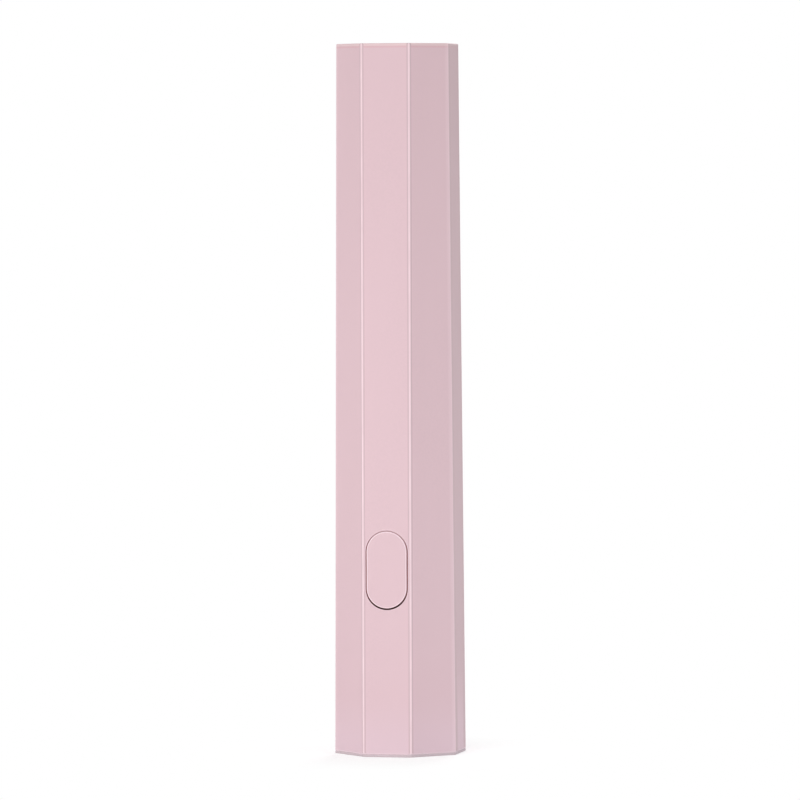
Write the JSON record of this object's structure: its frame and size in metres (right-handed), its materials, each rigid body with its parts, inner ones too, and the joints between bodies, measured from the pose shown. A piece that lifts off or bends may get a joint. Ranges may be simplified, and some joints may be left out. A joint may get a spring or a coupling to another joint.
{
  "type": "led nail lamp",
  "caption": "Handheld eight-sided nail curing lamp with a push button, end lens, charging port and full inner assembly.",
  "frame": {"origin": "centre of the base face, where the lamp stands", "axes": "+Z along the body towards the lamp end; the button facet faces -Y"},
  "size_m": [0.026, 0.026, 0.15],
  "materials": {
    "pink_shell": "satin",
    "pink_cap": "satin",
    "pink_button": "satin",
    "clear_lens": "polished",
    "light_guide": "gloss",
    "soft_seal": "matte",
    "foam": "matte",
    "bright_cup": "polished",
    "white_board": "satin",
    "emitter": "satin",
    "emitter_dome": "gloss",
    "pad": "matte",
    "sink": "satin",
    "carrier": "matte",
    "steel": "satin",
    "core": "matte",
    "sleeve": "gloss",
    "card": "matte",
    "nickel": "satin",
    "red_wire": "gloss",
    "black_wire": "gloss",
    "connector": "satin",
    "green_board": "gloss",
    "black_plastic": "matte",
    "capacitor": "satin",
    "screw_steel": "satin"
  },
  "bodies": {
    "casing": {"battery_lead_black": "black_wire", "battery_lead_red": "red_wire", "battery_plug": "connector", "battery_socket": "connector", "board_screws": "screw_steel", "body_shell": "pink_shell", "cap_screws": "screw_steel", "capacitors": "capacitor", "cell_can": "steel", "cell_cap": "steel", "cell_core": "core", "cell_foam": "foam", "cell_insulator": "card", "cell_sleeve": "sleeve", "charge_chip": "black_plastic", "charge_light_pipe": "light_guide", "chassis": "carrier", "chip_pins": "steel", "driver_chip": "black_plastic", "heat_sink": "sink", "indicator_led": "connector", "inductor": "black_plastic", "led_board": "white_board", "led_board_screws": "screw_steel", "led_dome": "emitter_dome", "led_lead_black": "black_wire", "led_lead_red": "red_wire", "led_package": "emitter", "led_plug": "connector", "led_socket": "connector", "lens": "clear_lens", "lens_gasket": "soft_seal", "main_board": "green_board", "negative_tab": "nickel", "positive_tab": "nickel", "reflector": "bright_cup", "resistors": "black_plastic", "switch_cover": "steel", "switch_dome": "steel", "switch_housing": "black_plastic", "switch_legs": "steel", "tail_cap": "pink_cap", "thermal_pad": "pad", "usb_shell": "steel", "usb_tongue": "black_plastic"},
    "button": {"button_cap": "pink_button"},
    "plunger": {"switch_plunger": "black_plastic"}
  },
  "joints": [
    {"name": "button_press", "type": "slide", "parent": "casing", "child": "button", "axis": [0, 1, 0], "range_m": [0, 0.0003], "stiffness_N_per_m": 1200},
    {"name": "plunger_press", "type": "slide", "parent": "casing", "child": "plunger", "axis": [0, 1, 0], "range_m": [0, 0.0003], "deforming": ["switch_dome"]}
  ],
  "couplings": [
    {"joint": "plunger_press", "follows": "button_press", "ratio": 1}
  ]
}
